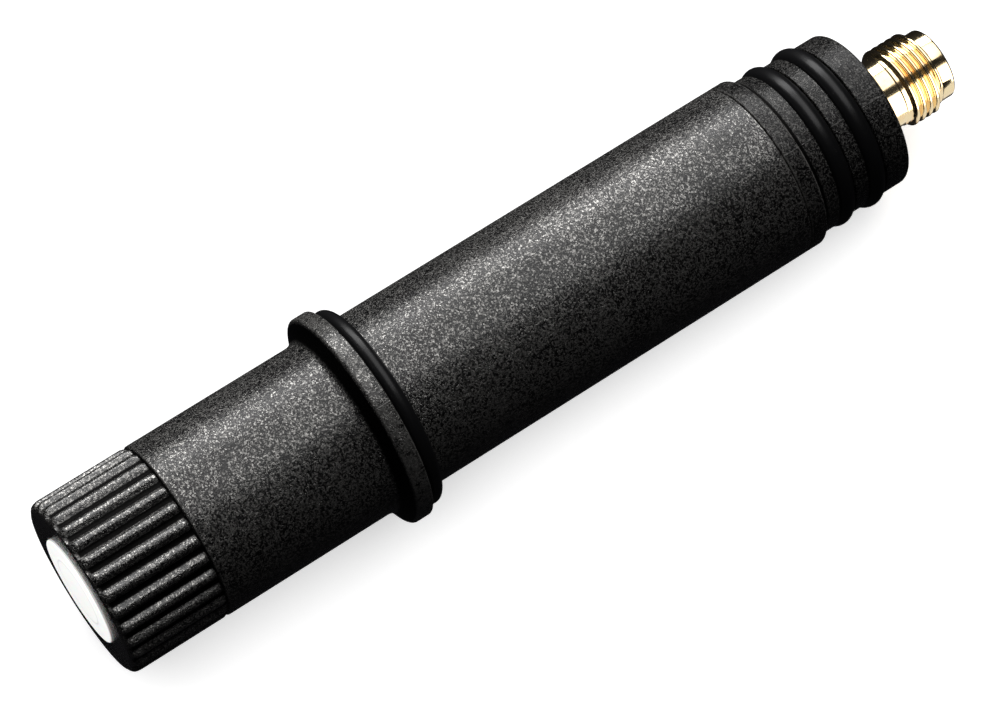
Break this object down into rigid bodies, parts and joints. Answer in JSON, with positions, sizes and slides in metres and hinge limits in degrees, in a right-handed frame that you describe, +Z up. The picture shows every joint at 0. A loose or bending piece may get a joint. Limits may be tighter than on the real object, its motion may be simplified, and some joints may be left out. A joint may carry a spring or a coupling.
{
  "type": "water quality probe",
  "caption": "Dissolved oxygen probe with a ribbed screw-on membrane cap, a flanged barrel with seals and a threaded coaxial jack.",
  "frame": {"origin": "on the probe's axis, in the plane of the flange's rear face that seats on a meter's socket", "axes": "+X along the axis from the membrane towards the jack, +Z up"},
  "size_m": [0.092, 0.0208, 0.0208],
  "materials": {
    "black_plastic": "fine blasted grain",
    "cap_plastic": "satin moulded",
    "white_film": "satin film",
    "clamp_plastic": "natural moulded",
    "seal_rubber": "smooth, greased",
    "stem_resin": "cast resin",
    "gold": "polished gold plate",
    "silver": "matt silver",
    "spring_steel": "rolled",
    "ptfe": "turned",
    "board_green": "solder mask",
    "chip_black": "moulded",
    "capacitor_tan": "moulded",
    "glass_bead": "fused bead",
    "potting_resin": "cast",
    "wire_red": "extruded",
    "wire_black": "extruded",
    "wire_white": "extruded",
    "wire_yellow": "extruded"
  },
  "bodies": {
    "housing": {"barrel": "black_plastic", "flange_o_ring": "seal_rubber", "electrode_stem": "stem_resin", "cathode_disc": "gold", "silver_anode": "silver", "stem_o_ring": "seal_rubber", "potting_plug": "potting_resin", "temperature_bead": "glass_bead", "sensor_lead_left": "wire_yellow", "sensor_lead_right": "wire_yellow", "cathode_lead": "wire_red", "anode_lead": "wire_black", "circuit_board": "board_green", "amplifier_chip": "chip_black", "memory_chip": "chip_black", "filter_capacitor": "capacitor_tan", "bias_resistor": "chip_black", "load_resistor": "chip_black", "rear_plug": "black_plastic", "rear_o_ring_front": "seal_rubber", "rear_o_ring_back": "seal_rubber", "jack_shell": "gold", "jack_insulator": "ptfe", "centre_contact": "gold", "spring_washer": "spring_steel", "retaining_ring": "spring_steel", "ground_tag": "gold", "signal_lead": "wire_white", "ground_lead": "wire_black"},
    "cap_seal": {"cap_o_ring": "seal_rubber"},
    "cap": {"membrane_cap": "cap_plastic", "membrane": "white_film", "membrane_ring": "clamp_plastic"}
  },
  "joints": [
    {"name": "cap_travel", "type": "slide", "parent": "housing", "child": "cap_seal", "axis": [-1, 0, 0], "range_m": [0, 0.003]},
    {"name": "cap_turn", "type": "hinge", "parent": "cap_seal", "child": "cap", "pos_m": [-0.01975, 0, 0], "axis": [-1, 0, 0], "range_deg": [0, 720]}
  ],
  "couplings": [
    {"joint": "cap_travel", "follows": "cap_turn", "m_per_rad": 0.00023873}
  ]
}
